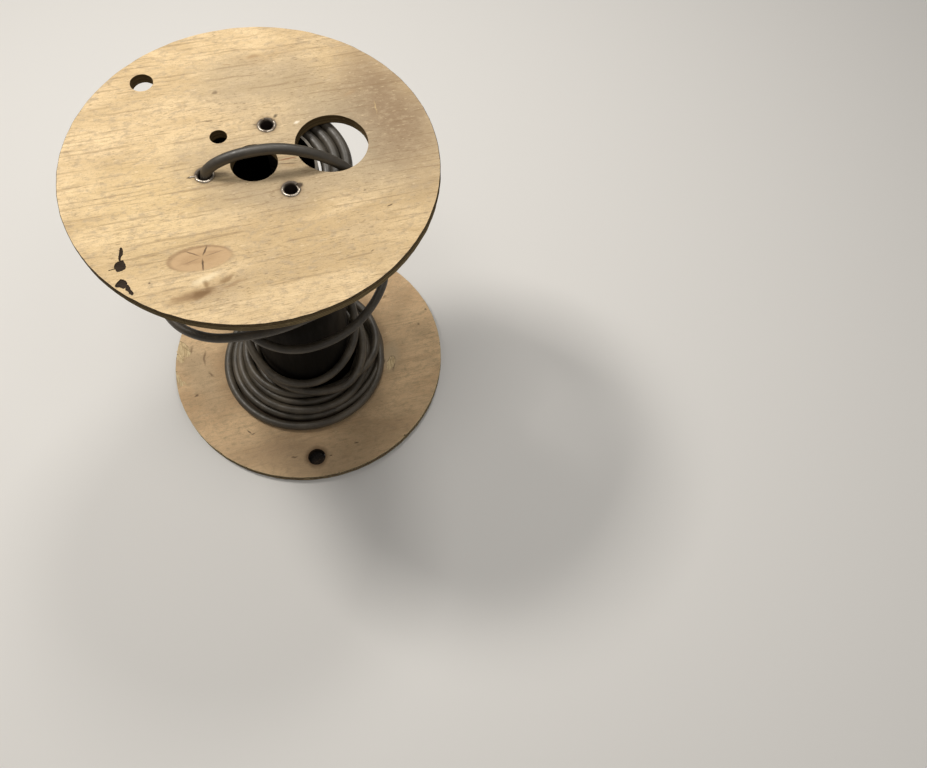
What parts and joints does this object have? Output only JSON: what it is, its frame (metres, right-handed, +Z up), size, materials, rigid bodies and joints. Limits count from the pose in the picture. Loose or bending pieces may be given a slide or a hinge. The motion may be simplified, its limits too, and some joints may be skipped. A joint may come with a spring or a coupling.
{
  "type": "wooden cable drum",
  "caption": "Plywood-flanged cable drum standing on one flange, with a dark barrel, hollow steel ties and loose turns of cable left on it.",
  "frame": {"origin": "middle of the lower flange's underside, on the drum's axis", "axes": "+Z up the drum's axis, +X towards the large start hole in the upper flange"},
  "size_m": [0.4063, 0.4064, 0.5143],
  "materials": {
    "plywood_upper": "raw plywood, worn and dusty",
    "plywood_lower": "raw plywood, dirty",
    "barrel": "dull black",
    "tie_steel": "dull zinc with rust in the mouths",
    "cable": "grey-black sheath, slight sheen"
  },
  "bodies": {
    "root": {"flange_upper": "plywood_upper", "flange_lower": "plywood_lower", "barrel": "barrel", "tie_tube_a": "tie_steel", "tie_tube_b": "tie_steel", "tie_tube_c": "tie_steel", "cable_tail": "cable", "cable_top_coil": "cable", "cable_loose_turns": "cable", "cable_pile": "cable"}
  },
  "joints": []
}
